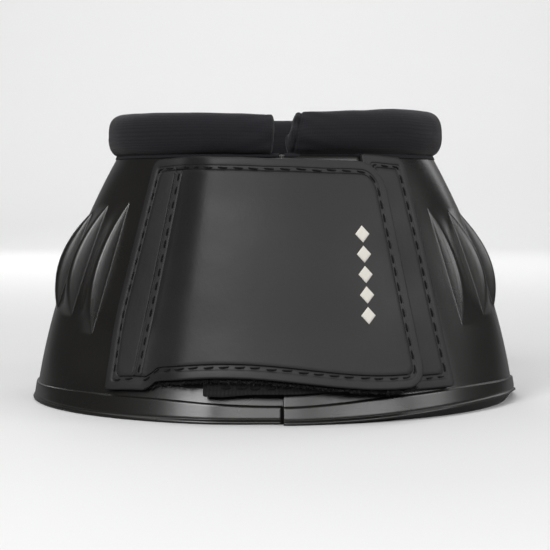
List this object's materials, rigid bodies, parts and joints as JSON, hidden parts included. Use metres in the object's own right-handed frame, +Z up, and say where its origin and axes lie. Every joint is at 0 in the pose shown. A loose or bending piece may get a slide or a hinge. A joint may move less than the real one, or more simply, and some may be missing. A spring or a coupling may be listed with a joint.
{
  "type": "bell boot",
  "caption": "Flared rubber over-reach boot for a horse's hoof, with a ribbed shell, padded collar and a wraparound hook-and-loop front flap over an inner tongue.",
  "frame": {"origin": "centre of the bounding box on the floor plane, under the hem", "axes": "+Z up through the collar, -Y towards the closure flap at the front, +X to the viewer's right when facing the flap"},
  "size_m": [0.1898, 0.1737, 0.11],
  "materials": {
    "shell_rubber": "satin black moulded rubber",
    "strap_rubber": "matte black coated strap",
    "collar_fabric": "fine stretch knit",
    "collar_foam": "soft closed-cell foam",
    "webbing": "ribbed woven webbing",
    "loop_pile": "fuzzy loop pile",
    "hook_tape": "fine moulded hooks",
    "thread": "twisted black thread",
    "mark": "printed off-white"
  },
  "bodies": {
    "left_half": {"shell_left": "shell_rubber", "collar_cover_left": "collar_fabric", "collar_core_left": "collar_foam", "collar_end_left": "collar_fabric", "collar_seam_left": "collar_fabric", "flap_anchor": "strap_rubber", "flap_anchor_stitching": "thread", "loop_patch": "loop_pile", "loop_patch_stitching": "thread"},
    "flap": {"closure_flap": "strap_rubber", "flap_stitching": "thread", "flap_hook_tape": "hook_tape", "flap_mark": "mark"},
    "right_half": {"shell_right": "shell_rubber", "collar_cover_right": "collar_fabric", "collar_core_right": "collar_foam", "collar_end_right": "collar_fabric", "collar_seam_right": "collar_fabric", "tongue_anchor": "strap_rubber", "tongue_anchor_stitching": "thread"},
    "tongue": {"tongue_band": "webbing", "tongue_loop_tape": "loop_pile", "tongue_hook_tape": "hook_tape", "tongue_stitching": "thread"}
  },
  "joints": [
    {"name": "flap_bend", "type": "hinge", "parent": "left_half", "child": "flap", "pos_m": [-0.04993, -0.07348, 0], "axis": [-0.1698, -0.2523, -0.9526], "range_deg": [0, 150]},
    {"name": "tongue_bend", "type": "hinge", "parent": "right_half", "child": "tongue", "pos_m": [0.04643, -0.0753, 0], "axis": [-0.158, 0.2586, 0.953], "range_deg": [0, 50]},
    {"name": "shell_open", "type": "hinge", "parent": "left_half", "child": "right_half", "pos_m": [0, 0.09353, 0], "axis": [0, -0.2958, 0.9552], "range_deg": [0, 38]}
  ],
  "couplings": [
    {"joint": "tongue_bend", "follows": "flap_bend", "ratio": 0.33},
    {"joint": "shell_open", "follows": "flap_bend", "ratio": 0.25}
  ]
}
